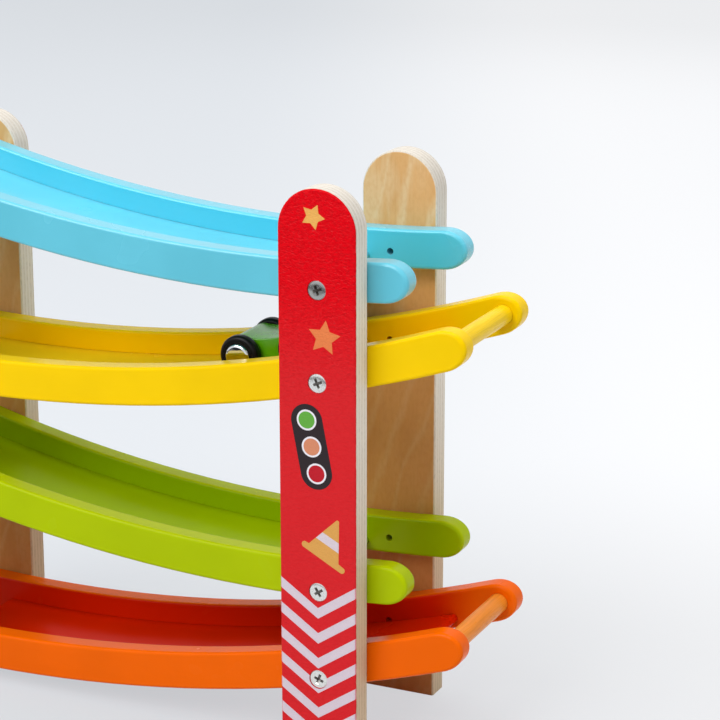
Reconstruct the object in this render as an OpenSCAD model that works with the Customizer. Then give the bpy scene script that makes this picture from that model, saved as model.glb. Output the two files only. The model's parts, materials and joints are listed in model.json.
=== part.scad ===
// Click clack track: four curved ramps in a zigzag between two pairs of posts, with one car

/* [Posts] */
// Width of each post
post_width = 37; // [30:0.5:45]
// Thickness of the plywood that the posts are cut from
post_thickness = 12; // [9:0.5:16]
// Distance between the left and the right posts, centre to centre
post_spacing = 221.6; // [200:0.2:250]
// Height of the posts above the top track's upper screws
post_head = 20.8; // [12:0.2:35]
// Rounding of the posts' edges
post_edge = 1; // [0.4:0.1:2]

/* [Rails] */
// Radius of the rails' centre line
track_radius = 730; // [620:5:900]
// Distance from a track's lowest point to its lower posts
low_point_inset = 34.8; // [20:0.2:50]
// Height of the lowest rails above the ground
ground_gap = 7; // [2:0.5:20]
// Height from a track up to the next track, which falls the other way
pair_drop = 64.9; // [60:0.1:72]
// Height between two tracks that fall the same way
pair_pitch = 137.5; // [126:0.1:160]
// Height of each rail
rail_height = 18; // [16:0.5:22]
// Thickness of each rail
rail_thickness = 10; // [8:0.5:14]
// Rounding of the rails' edges
rail_edge = 1.5; // [0.5:0.1:2.4]
// Reach of a rail past its upper posts, to the middle of its stop dowel
high_reach = 55.2; // [48:0.2:70]
// Reach of a rail past its lower posts, to where the middle of a plain round end would be
low_reach = 28.3; // [20:0.2:36]
// Length by which a rail's ends are drawn out to a narrower tip than a plain round end
end_stretch = 2.6; // [1:0.1:5]

/* [Floors] */
// Clear width between the two rails of a track
channel_width = 54; // [46:0.5:70]
// Depth of the floor below the rails' upper edges
floor_depth = 10.75; // [9:0.05:11.5]
// Thickness of each floor
floor_thickness = 4; // [2.5:0.1:4.5]
// Reach of a floor past its upper posts, to the middle of its round end
floor_high_reach = 32.4; // [24:0.2:38]
// Distance from the middle of a floor's lower round end to its lower posts
floor_low_inset = 12.5; // [8:0.1:22]
// Depth of the grooves that hold the floors
groove_depth = 4; // [2.5:0.1:6]
// Clearance of a floor in its grooves
floor_clearance = 0.1; // [0.05:0.01:0.3]

/* [Stop dowels] */
// Diameter of the dowel at the upper end of each track
dowel_diameter = 9; // [7:0.1:11]
// Depth of the blind hole that a dowel sits in
dowel_seat = 6; // [4:0.1:7]
// Clearance of a dowel in its holes
dowel_clearance = 0.1; // [0.05:0.01:0.3]

/* [Screws] */
// Diameter of a screw's countersunk head
head_diameter = 8.6; // [7:0.1:11]
// Height of the straight rim of the head
head_rim = 0.4; // [0.2:0.1:0.8]
// Depth of the head below the post's outer face
head_recess = 0.2; // [0.1:0.05:0.6]
// Diameter of the plain shank in the post
shank_diameter = 4.2; // [3.6:0.1:5]
// Diameter of the screw's core in the rail
core_diameter = 3; // [2.4:0.1:3.4]
// Length of the point
point_length = 3; // [2:0.1:4]
// Diameter of the point's blunt tip
tip_diameter = 0.5; // [0.3:0.1:1]
// Wood left between the point and the floor's groove
point_cover = 0.4; // [0.3:0.1:1.2]
// Distance of the screws below the rails' centre line
screw_drop = 1.3; // [0:0.1:3]
// Clearance round a screw
screw_clearance = 0.1; // [0.05:0.01:0.3]
// Length of each arm of the cross recess
recess_reach = 2.3; // [1.6:0.1:2.8]
// Width of each arm of the cross recess
recess_width = 1.1; // [0.7:0.1:1.4]
// Depth of the cross recess
recess_depth = 1.5; // [0.8:0.1:1.8]

/* [Car] */
// Distance between the two axles
wheelbase = 29.6; // [25:0.1:34]
// Level distance from the car's middle to the right posts
car_set_back = 39.5; // [10:0.1:120]
// Width of the wooden body
body_width = 26; // [20:0.5:30]
// Distance from an axle out to the middle of the body's round end
body_overhang = 1.8; // [0.8:0.1:2.6]
// Depth of the waist on top of the body and below it
waist_depth = 2.3; // [1:0.1:3.2]
// Height that the tyres stand out above and below the body's round ends
tyre_standout = 1.5; // [1.2:0.1:3]
// Diameter of the wheels
wheel_diameter = 19; // [17:0.1:22]
// Width of the wheels
wheel_width = 5.5; // [4.5:0.1:7]
// Rounding of the tyres' shoulders
tyre_shoulder = 1.8; // [0.8:0.1:2]
// Gap between a wheel and the body
wheel_gap = 0.5; // [0.3:0.1:1]
// Gap between the tyres and the floor
rolling_gap = 0.3; // [0.2:0.05:0.5]
// Diameter of the steel axles
axle_diameter = 3; // [2.4:0.1:4]
// Running clearance of an axle in the body
axle_clearance = 0.08; // [0.03:0.01:0.1]
// Clearance of the pressed fits on an axle
press_clearance = 0.02; // [0.01:0.01:0.04]
// Diameter of the domed hub caps
cap_diameter = 12; // [9:0.1:13]
// Height of a cap's rim, which sits in the wheel
cap_rim = 0.8; // [0.6:0.1:1.5]
// Height of a cap's dome
cap_dome = 1.5; // [0.9:0.1:3]
// Clearance of a cap in its wheel
cap_clearance = 0.05; // [0.02:0.01:0.2]
// Depth of the ring cut into a wheel's outer face
ring_depth = 0.3; // [0.2:0.05:0.6]
// Width of the ring cut into a wheel's outer face
ring_width = 0.5; // [0.3:0.1:1]

/* [Hidden] */
$fa = 2;
$fs = 0.3;
// Overrun of every cut past the face that it opens
overrun = 1;
// Step from a curved bar or groove to its round ends
end_step = 0.02;
// Radius of the body's waist, as a share of the radius that is tangent to the round ends
waist_share = 1.03;
// Place of the ring on a wheel's face, as a share of the space from the cap to the shoulder
ring_share = 0.55;

left = -1;
right = 1;
front = -1;
rear = 1;
ends = [left, right];
sides = [front, rear];
function end_name(end) = end == left ? "left" : "right";
function side_name(side) = side == front ? "front" : "rear";

// Tracks from the top down, the way that each one falls, and the car's own track
track_names = ["blue", "yellow", "green", "orange"];
track_falls = [right, left, right, left];
tracks = [for (track = [0 : len(track_names) - 1]) track];
car_track = 1;
rail_colours = ["#5ccbe8", "#f4cb00", "#a5c000", "#f26000"];
floor_colours = ["#46d3f2", "#e0aa00", "#8aa800", "#d02800"];
dowel_colours = ["#7fd8ee", "#f2c61c", "#b4ca3a", "#ea9038"];

// Height of each rail's centre line at its lowest point
lowest_level = ground_gap + rail_height / 2;
track_levels = [
    lowest_level + pair_drop + pair_pitch,
    lowest_level + pair_pitch,
    lowest_level + pair_drop,
    lowest_level
];

// Each track is drawn about the centre of its curve, falling to the right
low_post_x = low_point_inset;
high_post_x = low_point_inset - post_spacing;
curve_offset = post_spacing / 2 - low_point_inset;
function angle_at(x, radius) = asin(x / radius);
function curve_depth(x) = sqrt(track_radius ^ 2 - x ^ 2);
high_angle = angle_at(high_post_x - high_reach, track_radius);
bar_high_angle = angle_at(high_post_x - high_reach + end_stretch, track_radius);
bar_low_angle = angle_at(low_post_x + low_reach - end_stretch, track_radius);
end_length_share = 1 + 2 * end_stretch / rail_height;
floor_radius = track_radius - rail_height / 2 + floor_depth;
floor_high_angle = angle_at(high_post_x - floor_high_reach, floor_radius);
floor_low_angle = angle_at(low_post_x - floor_low_inset, floor_radius);

// Faces across the depth, as distances from the middle of the track
rail_inner = channel_width / 2;
rail_middle = rail_inner + rail_thickness / 2;
post_inner = rail_inner + rail_thickness;
post_outer = post_inner + post_thickness;

// Screw places: height on a post, and depth below the centre of a track's curve
function screw_depth(x) = curve_depth(x) + screw_drop;
function post_x_in_track(track, end) = track_falls[track] == end ? low_post_x : high_post_x;
function screw_height(track, end) =
    track_levels[track] + track_radius - screw_depth(post_x_in_track(track, end));
post_height = screw_height(0, left) + post_head;

// Faces of a screw along its length, as distances from the middle of the track
head_face = post_outer - head_recess;
head_under = head_face - head_rim;
head_end = head_under - (head_diameter - shank_diameter) / 2;
point_end = rail_inner + groove_depth + point_cover;

// The car on its track: radii from the centre of the curve, and places along the car
wheel_radius = wheel_diameter / 2;
axle_path_radius = floor_radius - rolling_gap - wheel_radius;
half_base_angle = angle_at(wheelbase / 2, axle_path_radius);
car_radius = axle_path_radius * cos(half_base_angle);
car_centre_x = track_falls[car_track] * curve_offset;
car_angle = angle_at(post_spacing / 2 - car_set_back - car_centre_x, car_radius);
car_centre_z = track_levels[car_track] + track_radius;
front_axle_x = -wheelbase / 2;
rear_axle_x = wheelbase / 2;

// The body's outline: round ends, and a waist that is a little flatter than one tangent to them
body_end = wheel_radius - tyre_standout;
body_end_x = wheelbase / 2 + body_overhang;
waist_half = body_end - waist_depth;
tangent_radius = (waist_half ^ 2 + body_end_x ^ 2 - body_end ^ 2) / (2 * waist_depth);
waist_radius = waist_share * tangent_radius;
waist_centre = waist_radius + waist_half;

// Faces across the car, as distances from its middle
wheel_inner = body_width / 2 + wheel_gap;
wheel_outer = wheel_inner + wheel_width;
cap_base = wheel_outer - cap_rim;
axle_half = wheel_outer;
ring_space = wheel_radius - tyre_shoulder - cap_diameter / 2;
ring_radius = cap_diameter / 2 + ring_share * ring_space;

// Rounded rectangle about the origin, with its height along X
module rounded_section(height, thickness, edge) {
    square([height, thickness - 2 * edge], center = true);
    square([height - 2 * edge, thickness], center = true);
    for (x = [-1, 1], y = [-1, 1])
        translate([x * (height / 2 - edge), y * (thickness / 2 - edge)])
            circle(r = edge);
}

// Half of that rectangle, which turns into a round end
module half_section(height, thickness, edge) {
    intersection() {
        rounded_section(height, thickness, edge);
        translate([0, -thickness / 2])
            square([height / 2, thickness]);
    }
}

// Turns an outline about the Y axis, with the angles counted from straight down towards +X
module turned(from_angle, to_angle) {
    rotate([90, 0, 0])
        rotate([0, 0, from_angle - 90])
            rotate_extrude(angle = to_angle - from_angle)
                children();
}

// Straight round bar along Y, from one place to another
module bar(diameter, from_y, to_y) {
    translate([0, to_y, 0])
        rotate([90, 0, 0])
            cylinder(d = diameter, h = to_y - from_y);
}

// Cone along Y, from one diameter and place to another
module cone(from_diameter, from_y, to_diameter, to_y) {
    translate([0, to_y, 0])
        rotate([90, 0, 0])
            cylinder(d1 = to_diameter, d2 = from_diameter, h = to_y - from_y);
}

// Puts a piece on the front or the rear side
module on_side(side) {
    mirror([0, side == front ? 0 : 1, 0])
        children();
}

// Puts a piece that is drawn about the centre of a track's curve in its place
module on_track(track) {
    translate([track_falls[track] * curve_offset, 0, track_levels[track] + track_radius])
        mirror([track_falls[track] == right ? 0 : 1, 0, 0])
            children();
}

// Moves a piece out to a radius, at an angle along the curve
module along_curve(angle, radius) {
    rotate([0, -angle, 0])
        translate([0, 0, -radius])
            children();
}

// The rail before it is cut: a curved bar with two drawn-out round ends
module rail_blank() {
    turned(bar_high_angle, bar_low_angle)
        translate([track_radius, rail_middle])
            rounded_section(rail_height, rail_thickness, rail_edge);
    for (angle = [bar_high_angle, bar_low_angle])
        translate([0, -rail_middle, 0])
            along_curve(angle, track_radius)
                scale([end_length_share, 1, 1])
                    turned(0, 360)
                        half_section(rail_height - 2 * end_step, rail_thickness - 2 * end_step, rail_edge);
}

// The groove for the floor, with the round ends that a cutter leaves
module floor_groove() {
    groove_width = floor_thickness + 2 * floor_clearance;
    turned(floor_high_angle, floor_low_angle)
        translate([floor_radius - floor_clearance, rail_inner - overrun])
            square([groove_width, groove_depth + overrun]);
    for (angle = [floor_high_angle, floor_low_angle])
        along_curve(angle, floor_radius + floor_thickness / 2)
            bar(groove_width - 2 * end_step,
                -rail_inner - groove_depth + end_step, -rail_inner + overrun);
}

module rail(track, side) {
    color(rail_colours[track])
        on_track(track)
            on_side(side)
                difference() {
                    rail_blank();
                    floor_groove();
                    along_curve(high_angle, track_radius)
                        bar(dowel_diameter + 2 * dowel_clearance,
                            -rail_inner - dowel_seat, -rail_inner + overrun);
                    for (x = [low_post_x, high_post_x])
                        translate([x, 0, -screw_depth(x)])
                            bar(core_diameter + 2 * screw_clearance,
                                -post_inner - overrun, -rail_inner + overrun);
                }
}

// A curved plate with two round ends, which fill the ends of its grooves
module track_floor(track) {
    half_width = rail_inner + groove_depth - floor_clearance;
    end_half_width = half_width - end_step;
    color(floor_colours[track])
        on_track(track) {
            turned(floor_high_angle, floor_low_angle)
                translate([floor_radius, -half_width])
                    square([floor_thickness, 2 * half_width]);
            for (angle = [floor_high_angle, floor_low_angle])
                along_curve(angle, floor_radius + floor_thickness / 2)
                    bar(floor_thickness - 2 * end_step, -end_half_width, end_half_width);
        }
}

module stop_dowel(track) {
    half_length = rail_inner + dowel_seat - dowel_clearance;
    color(dowel_colours[track])
        on_track(track)
            along_curve(high_angle, track_radius)
                bar(dowel_diameter, -half_length, half_length);
}

// Countersunk hole through a front post, about the screw's axis
module screw_hole() {
    bar(shank_diameter + 2 * screw_clearance, -post_outer - overrun, -post_inner + overrun);
    bar(head_diameter + 2 * screw_clearance, -post_outer - overrun, -head_under);
    cone(head_diameter + 2 * screw_clearance, -head_under,
        shank_diameter + 2 * screw_clearance, -head_end);
}

module post(side, end) {
    straight_height = post_height - post_width / 2;
    color("#d81f26")
        translate([end * post_spacing / 2, 0, 0])
            on_side(side)
                difference() {
                    translate([0, -post_inner - post_thickness / 2, 0]) {
                        linear_extrude(height = straight_height)
                            rounded_section(post_width, post_thickness, post_edge);
                        translate([0, 0, straight_height])
                            turned(90, 270)
                                half_section(post_width, post_thickness, post_edge);
                    }
                    for (track = tracks)
                        translate([0, 0, screw_height(track, end)])
                            screw_hole();
                }
}

// Wood screw in a front post: rim, cone, plain shank, core and point
module screw() {
    difference() {
        union() {
            bar(head_diameter, -head_face, -head_under);
            cone(head_diameter, -head_under, shank_diameter, -head_end);
            bar(shank_diameter, -head_end, -post_inner);
            bar(core_diameter, -post_inner, -point_end - point_length);
            cone(core_diameter, -point_end - point_length, tip_diameter, -point_end);
        }
        for (turn = [0, 90])
            rotate([0, turn, 0])
                translate([-recess_reach, -head_face - overrun, -recess_width / 2])
                    cube([2 * recess_reach, recess_depth + overrun, recess_width]);
    }
}

module post_screws(side, end) {
    color("#c9ccd0")
        for (track = tracks)
            translate([end * post_spacing / 2, 0, screw_height(track, end)])
                on_side(side)
                    screw();
}

// Puts a piece of the car, drawn about the middle between its axles, on the track
module on_floor() {
    translate([car_centre_x, 0, car_centre_z])
        along_curve(car_angle, car_radius)
            children();
}

// Side view of the body: two round ends and the waist between them
module body_outline() {
    difference() {
        union() {
            for (x = [-body_end_x, body_end_x])
                translate([x, 0])
                    circle(r = body_end);
            square([2 * body_end_x, 2 * body_end], center = true);
        }
        for (side = sides)
            translate([0, side * waist_centre])
                circle(r = waist_radius);
    }
}

module car_body() {
    color("#4c9a10")
        on_floor()
            difference() {
                translate([0, body_width / 2, 0])
                    rotate([90, 0, 0])
                        linear_extrude(height = body_width)
                            body_outline();
                for (x = [front_axle_x, rear_axle_x])
                    translate([x, 0, 0])
                        bar(axle_diameter + 2 * axle_clearance,
                            -body_width / 2 - overrun, body_width / 2 + overrun);
            }
}

module car_axle(axle_x) {
    color("#b8bcc2")
        on_floor()
            translate([axle_x, 0, 0])
                bar(axle_diameter, -axle_half, axle_half);
}

// A wheel on the car's left, which is the front side of the track
module car_wheel(axle_x, end) {
    color("#1c1b1c")
        on_floor()
            translate([axle_x, 0, 0])
                on_side(end == left ? front : rear)
                    difference() {
                        translate([0, -wheel_inner - wheel_width / 2, 0])
                            turned(0, 360)
                                half_section(wheel_diameter, wheel_width, tyre_shoulder);
                        bar(axle_diameter + 2 * press_clearance,
                            -wheel_outer - overrun, -wheel_inner + overrun);
                        bar(cap_diameter + 2 * cap_clearance, -wheel_outer - overrun, -cap_base);
                        difference() {
                            bar(2 * ring_radius + ring_width,
                                -wheel_outer - overrun, -wheel_outer + ring_depth);
                            bar(2 * ring_radius - ring_width,
                                -wheel_outer - 2 * overrun, -wheel_outer + 2 * ring_depth);
                        }
                    }
}

module car_cap(axle_x, end) {
    dome_radius = ((cap_diameter / 2) ^ 2 + cap_dome ^ 2) / (2 * cap_dome);
    color("#d9dce0")
        on_floor()
            translate([axle_x, 0, 0])
                on_side(end == left ? front : rear)
                    difference() {
                        translate([0, -wheel_outer, 0])
                            turned(0, 360)
                                intersection() {
                                    translate([0, cap_dome - dome_radius])
                                        circle(r = dome_radius);
                                    translate([0, -cap_rim])
                                        square([cap_diameter / 2, cap_rim + cap_dome]);
                                }
                        bar(axle_diameter + 2 * press_clearance, -axle_half, -cap_base + overrun);
                    }
}

for (side = sides, end = ends) {
    post(side, end);
    post_screws(side, end);
}

for (track = tracks) {
    for (side = sides)
        rail(track, side);
    track_floor(track);
    stop_dowel(track);
}

car_body();
car_axle(front_axle_x);  // car_front_axle
car_axle(rear_axle_x);  // car_rear_axle

for (axle = sides, end = ends) {
    axle_x = axle == front ? front_axle_x : rear_axle_x;
    car_wheel(axle_x, end);
    car_cap(axle_x, end);
}
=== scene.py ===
# Looks for the click clack track: painted tracks, printed plywood posts and one small car
import json
import math

import bmesh
import bpy
from mathutils import Matrix, Vector

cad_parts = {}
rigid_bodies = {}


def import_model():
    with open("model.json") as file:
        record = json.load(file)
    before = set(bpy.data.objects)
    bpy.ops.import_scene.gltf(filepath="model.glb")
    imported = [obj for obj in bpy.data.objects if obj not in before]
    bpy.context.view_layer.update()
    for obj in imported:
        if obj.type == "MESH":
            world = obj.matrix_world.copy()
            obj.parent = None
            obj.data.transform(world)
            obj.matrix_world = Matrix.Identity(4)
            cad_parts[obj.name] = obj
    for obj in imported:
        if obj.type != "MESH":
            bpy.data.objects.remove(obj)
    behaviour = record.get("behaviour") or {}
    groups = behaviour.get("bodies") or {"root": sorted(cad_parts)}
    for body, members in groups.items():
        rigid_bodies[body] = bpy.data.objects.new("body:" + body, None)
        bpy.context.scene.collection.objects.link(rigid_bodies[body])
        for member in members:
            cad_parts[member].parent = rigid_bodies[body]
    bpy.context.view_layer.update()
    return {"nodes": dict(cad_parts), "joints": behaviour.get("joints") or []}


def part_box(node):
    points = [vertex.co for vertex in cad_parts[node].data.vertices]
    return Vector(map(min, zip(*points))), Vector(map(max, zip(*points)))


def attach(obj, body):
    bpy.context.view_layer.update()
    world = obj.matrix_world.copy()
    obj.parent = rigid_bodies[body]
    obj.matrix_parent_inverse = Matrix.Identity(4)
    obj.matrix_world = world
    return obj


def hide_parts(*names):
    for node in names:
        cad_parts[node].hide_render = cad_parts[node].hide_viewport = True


for leftOver in list(bpy.data.objects):  # the start-up cube, lamp and camera
    bpy.data.objects.remove(leftOver)

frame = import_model()
nodes = frame["nodes"]
mm = 0.001
ends, sides = ("left", "right"), ("front", "rear")
way = {"left": -1, "right": 1, "front": -1, "rear": 1}  # along X for the ends, along Y for the sides
print("frame loaded:", len(nodes), "nodes")


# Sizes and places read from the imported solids; axes are 0, 1 and 2 for X, Y and Z
def span(node, axis):
    low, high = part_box(node)
    return low[axis], high[axis]


def extent(node, axis):
    low, high = span(node, axis)
    return high - low


def jointPlace(name):
    return Vector(next(joint["pos_m"] for joint in frame["joints"] if joint["name"] == name))


postX = sum(span("front_right_post", 0)) / 2  # the left posts stand at minus this
postInner, postOuter = span("rear_right_post", 1)  # the front posts stand at minus these


# Small helpers for shader and geometry trees
def srgb(red, green, blue):  # screen colour, 0 to 255, to the linear one that shaders take
    shares = [value / 255 for value in (red, green, blue)]
    linear = [((s + 0.055) / 1.055) ** 2.4 if s > 0.04 else s / 12.92 for s in shares]
    return (*linear, 1.0)


def darker(colour, share):
    return tuple(c * share for c in colour[:3]) + (1.0,)


def feed(tree, socket, value):  # a wire from another node, or a plain value
    if isinstance(value, bpy.types.NodeSocket):
        tree.links.new(value, socket)
    else:
        socket.default_value = value


def add(tree, kind, wires=None, **settings):  # one node, with its settings and its inputs
    node = tree.nodes.new(kind)
    for key, value in settings.items():
        setattr(node, key, value)
    for key, value in (wires or {}).items():
        feed(tree, node.inputs[key], value)
    return node


def shading(tree, kind, wires=None, **settings):  # the first output of a new shader node
    return add(tree, "ShaderNode" + kind, wires, **settings).outputs[0]


def geometry(tree, kind, wires=None, **settings):  # the first output of a new geometry node
    return add(tree, "GeometryNode" + kind, wires, **settings).outputs[0]


def calc(tree, operation, *values):
    return shading(tree, "Math", dict(enumerate(values)), operation=operation)


def apart(tree, vector):
    return add(tree, "ShaderNodeSeparateXYZ", {0: vector}).outputs


def together(tree, x=0.0, y=0.0, z=0.0):
    return shading(tree, "CombineXYZ", {0: x, 1: y, 2: z})


def grey(tree, level):
    return shading(tree, "CombineColor", {0: level, 1: level, 2: level})


# a value between low and high, mapped to another range; a look holds two or all four of its limits
def spread(tree, value, low, high, toLow=0.0, toHigh=1.0, smooth=True):
    style = "SMOOTHSTEP" if smooth else "LINEAR"
    wires = {"Value": value, "From Min": low, "From Max": high, "To Min": toLow, "To Max": toHigh}
    return shading(tree, "MapRange", wires, interpolation_type=style)


def noise(tree, vector, scale, detail=2.0, distortion=0.0):
    wires = {"Vector": vector, "Scale": scale, "Detail": detail, "Distortion": distortion}
    return shading(tree, "TexNoise", wires)


def stretched(tree, vector, scale, turn=(0, 0, 0)):
    wires = {"Vector": vector, "Scale": scale, "Rotation": turn}
    return shading(tree, "Mapping", wires)


def grainNoise(tree, place, scale, detail, distortion=0.0, turn=(0, 0, 0)):  # noise drawn out along the wood
    return noise(tree, stretched(tree, place, scale, turn), 1.0, detail, distortion)


def blend(tree, share, first, second, style="MIX"):
    node = add(tree, "ShaderNodeMix", data_type="RGBA", blend_type=style)
    for index, value in ((0, share), (6, first), (7, second)):  # the colour sockets of this node
        feed(tree, node.inputs[index], value)
    return node.outputs[2]


def startMaterial(name):
    material = bpy.data.materials.new(name)
    material.use_nodes = True
    tree = material.node_tree
    tree.nodes.clear()
    shader = add(tree, "ShaderNodeBsdfPrincipled")
    add(tree, "ShaderNodeOutputMaterial", {"Surface": shader.outputs[0]})
    place = add(tree, "ShaderNodeTexCoord").outputs["Object"]
    return material, tree, shader, place


def wire(tree, shader, **sockets):  # named shader inputs, with spaces left out
    for key, value in sockets.items():
        feed(tree, next(s for s in shader.inputs if s.name.replace(" ", "") == key), value)


def raised(tree, height, strength, distance):
    wires = {"Height": height, "Strength": strength, "Distance": distance}
    return shading(tree, "Bump", wires)


def linked(name, data):  # a new object in the scene
    item = bpy.data.objects.new(name, data)
    bpy.context.scene.collection.objects.link(item)
    return item


def facing(item, direction):
    item.rotation_mode = "QUATERNION"
    item.rotation_quaternion = direction.to_track_quat("-Z", "Y")


# Camera at the photograph's angle
cameraSetup = {
    "place": (0.5708, -0.9925, 0.4977),
    "azimuth": math.radians(24.98),
    "elevation": math.radians(16.48),
    "sensor": 36,
    "lens": 127.75,
    "clip": (0.05, 50),
}


def makeCamera(setup):
    camera = linked("camera", bpy.data.cameras.new("camera"))
    azimuth, elevation = setup["azimuth"], setup["elevation"]
    level = Vector((-math.sin(azimuth), math.cos(azimuth), 0)) * math.cos(elevation)
    camera.location = setup["place"]
    facing(camera, level - Vector((0, 0, math.sin(elevation))))
    camera.data.sensor_width = setup["sensor"]
    camera.data.lens = setup["lens"]
    camera.data.clip_start, camera.data.clip_end = setup["clip"]
    bpy.context.scene.camera = camera


makeCamera(cameraSetup)
print("camera set")

# Pale floor with painted light and shadow on it, soft lamps and a pale surround
stageSetup = {
    "floorHalf": 6.0,
    "floorLeft": srgb(232, 236, 241),
    "floorRight": srgb(252, 253, 255),
    "brightens": (-0.06, 0.36),  # painted light: the floor brightens from left to right of the view, in metres
    # painted shadow: the floor darkens close to the toy
    "nearTone": 0.85,
    "nearReach": (-0.1, 0.36),
    "ownLight": 0.78,  # share of the floor's colour that stays even in shadow
    "bounce": 0.88,  # share of the floor's colour that it throws back onto the object
    "roughness": 0.9,
    "gloss": 0.1,
    "darkBand": ((-0.62, -0.74), (-1.8, -1.5)),  # painted reflection: glossy rays alone see a dark strip of floor in front
    "dark": (0.02, 0.02, 0.022, 1.0),
    "surround": srgb(236, 239, 243),
    "surroundLight": 0.26,
}
lampSetup = {
    "key": {"place": (-0.4, -1.22, 1.35), "size": 1.3, "power": 28.0},
    "top": {"place": (0.2, 0.1, 1.5), "size": 1.1, "power": 12.0},
    "right": {"place": (1.5, 0.1, 0.7), "size": 0.9, "power": 5.0},
    "back": {"place": (-0.3, 1.6, 0.9), "size": 1.0, "power": 5.0},
}
lampTarget = Vector((0, 0, 0.13))


def seenDirectly(tree):  # 1 for rays that show a background, 0 for light that only bounces
    path = add(tree, "ShaderNodeLightPath").outputs
    total = calc(tree, "ADD", path["Is Camera Ray"], path["Is Glossy Ray"])
    return calc(tree, "MINIMUM", calc(tree, "ADD", total, path["Is Transmission Ray"]), 1.0)


def floorMaterial(setup):
    material, tree, shader, place = startMaterial("paleFloor")
    across, away, _ = apart(tree, stretched(tree, place, (1, 1, 1), (0, 0, -cameraSetup["azimuth"])))
    # painted light: the floor is brighter towards the right of the view
    shade = spread(tree, across, *setup["brightens"])
    tone = blend(tree, shade, setup["floorLeft"], setup["floorRight"])
    # painted shadow: darker close to the toy
    near = grey(tree, spread(tree, away, *setup["nearReach"], setup["nearTone"], 1.0))
    tone = blend(tree, 1.0, tone, near, "MULTIPLY")
    direct = seenDirectly(tree)
    level = spread(tree, direct, 0.0, 1.0, setup["bounce"], 1.0, smooth=False)
    wire(tree, shader, BaseColor=blend(tree, 1.0, tone, grey(tree, level), "MULTIPLY"),
         Roughness=setup["roughness"], SpecularIORLevel=setup["gloss"])
    glow = shading(tree, "Emission", {"Color": tone})
    share = calc(tree, "MULTIPLY", direct, setup["ownLight"])
    pale = shading(tree, "MixShader", {0: share, 1: shader.outputs[0], 2: glow})
    # painted reflection: a dark strip in front that only glossy rays see
    dark = shading(tree, "Emission", {"Color": setup["dark"]})
    ahead = apart(tree, place)[1]
    start, stop = setup["darkBand"]
    band = calc(tree, "MULTIPLY", spread(tree, ahead, *start), spread(tree, ahead, *stop))
    shiny = add(tree, "ShaderNodeLightPath").outputs["Is Glossy Ray"]
    beyond = calc(tree, "MULTIPLY", shiny, band)
    mixed = shading(tree, "MixShader", {0: beyond, 1: pale, 2: dark})
    tree.links.new(mixed, tree.nodes["Material Output"].inputs[0])
    return material


def makeFloor(setup):
    mesh = bpy.data.meshes.new("floor")
    half = setup["floorHalf"]
    corners = [(x * half, y * half, 0) for x, y in ((-1, -1), (1, -1), (1, 1), (-1, 1))]
    mesh.from_pydata(corners, [], [(0, 1, 2, 3)])
    mesh.materials.append(floorMaterial(setup))
    linked("floor", mesh)


def makeSurround(setup):
    world = bpy.data.worlds.new("paleSurround")
    bpy.context.scene.world = world
    world.use_nodes = True
    tree = world.node_tree
    tree.nodes.clear()
    strength = spread(tree, seenDirectly(tree), 0.0, 1.0, setup["surroundLight"], 1.0, smooth=False)
    light = add(tree, "ShaderNodeBackground", {"Color": setup["surround"], "Strength": strength})
    add(tree, "ShaderNodeOutputWorld", {"Surface": light.outputs[0]})


def makeLamps(setup):
    for name, lamp in setup.items():
        data = bpy.data.lights.new(name + "Lamp", "AREA")
        data.shape, data.size, data.energy = "SQUARE", lamp["size"], lamp["power"]
        light = linked(name + "Lamp", data)
        light.location = lamp["place"]
        facing(light, lampTarget - light.location)
        light.visible_glossy = name == "key"  # the others only fill the shadows


makeFloor(stageSetup)
makeSurround(stageSetup)
makeLamps(lampSetup)
bpy.context.scene.view_settings.view_transform = "Standard"
print("floor and lamps set")

# Paint on the tracks; a floor's tone is partly its own paint and partly painted shade of the channel, and it
# is also on the rails' inner faces as painted shade
trackLook = {
    "blue": {"rail": srgb(96, 193, 214), "floor": srgb(76, 196, 220), "dowel": srgb(118, 208, 232),
             "railGloss": 0.5, "floorGloss": 0.5, "bloom": 0.5},
    "yellow": {"rail": srgb(246, 202, 0), "floor": srgb(255, 203, 0), "dowel": srgb(244, 202, 14),
               "railGloss": 0.07, "floorGloss": 0.02, "bloom": 0.06},
    "green": {"rail": srgb(172, 192, 0), "floor": srgb(150, 184, 0), "dowel": srgb(182, 202, 34),
              "railGloss": 0.07, "floorGloss": 0.02, "bloom": 0.0},
    "orange": {"rail": srgb(241, 100, 0), "floor": srgb(219, 36, 0), "dowel": srgb(232, 136, 40),
               "railGloss": 0.07, "floorGloss": 0.02, "bloom": 0.0},
}
railInner = span("blue_rear_rail", 1)[0]
trackFinish = {
    "cloudScale": 22.0, "cloudRange": (0.35, 0.65), "shade": 0.94,
    "grainScale": (45, 700, 700), "grainRange": (0.55, 0.8, 0.0, 0.35), "grainDepth": 0.5,
    "peelScale": 900.0,
    "innerFace": (railInner + 0.9 * mm, railInner + 0.1 * mm),
    "innerFades": (130 * mm, 164 * mm),  # the painted shade ends towards a rail's tip
    "gatherScale": 160.0, "gatherReach": 1.6 * mm, "gatherShade": 0.6,
    "gatherLine": (railInner + 0.2 * mm, railInner + 0.7 * mm, 0.0, 0.28),
    "roughness": (0.3, 0.7, 0.18, 0.28), "bloomRoughness": 0.35, "bump": (0.1, 0.08 * mm),
}


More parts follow.
